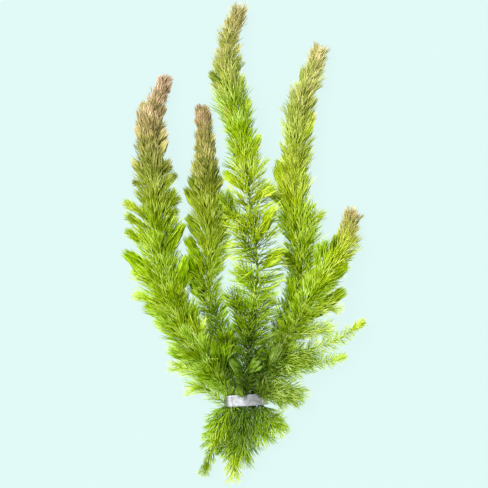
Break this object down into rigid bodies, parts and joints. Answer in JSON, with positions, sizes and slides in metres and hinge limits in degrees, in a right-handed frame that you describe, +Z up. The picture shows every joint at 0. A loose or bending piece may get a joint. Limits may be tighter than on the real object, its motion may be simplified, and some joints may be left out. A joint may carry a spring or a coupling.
{
  "type": "hornwort bunch",
  "caption": "Cut bunch of hornwort, a feathery aquarium plant, lying down, its whorled stems and side shoots held near the cut ends by a folded strip of soft metal.",
  "frame": {"origin": "on the surface that the bunch lies on, under the middle of its bounding box", "axes": "+Y from the cut ends to the growing tips, +X across the bunch to its right, +Z up from the surface"},
  "size_m": [0.1588, 0.3094, 0.044],
  "materials": {
    "olive_foliage": "matt olive-green water plant leaves, tan at the growing tips",
    "green_foliage": "matt mid-green water plant leaves, tan at the growing tips",
    "lime_foliage": "matt lime-green water plant leaves, tan at the growing tips",
    "weight_strip": "dull soft grey metal, slightly dented"
  },
  "bodies": {
    "root": {"stem_1": "olive_foliage", "stem_2": "olive_foliage", "stem_3": "green_foliage", "stem_4": "lime_foliage", "stem_5": "lime_foliage", "stem_1_shoot_1": "olive_foliage", "stem_1_shoot_2": "olive_foliage", "stem_1_shoot_3": "olive_foliage", "stem_1_shoot_4": "olive_foliage", "stem_1_shoot_5": "olive_foliage", "stem_1_shoot_6": "olive_foliage", "stem_1_shoot_7": "olive_foliage", "stem_1_shoot_8": "olive_foliage", "stem_1_shoot_9": "olive_foliage", "stem_2_shoot_1": "olive_foliage", "stem_2_shoot_2": "olive_foliage", "stem_2_shoot_3": "olive_foliage", "stem_3_shoot_1": "green_foliage", "stem_3_shoot_2": "green_foliage", "stem_3_shoot_3": "green_foliage", "stem_3_shoot_4": "green_foliage", "stem_4_shoot_1": "lime_foliage", "stem_4_shoot_2": "lime_foliage", "stem_5_shoot_1": "lime_foliage", "stem_5_shoot_2": "lime_foliage", "stem_5_shoot_3": "lime_foliage", "stem_5_shoot_4": "lime_foliage", "stem_5_shoot_5": "lime_foliage", "stem_5_shoot_6": "lime_foliage", "stem_5_shoot_7": "lime_foliage", "weight_strip": "weight_strip"}
  },
  "joints": []
}
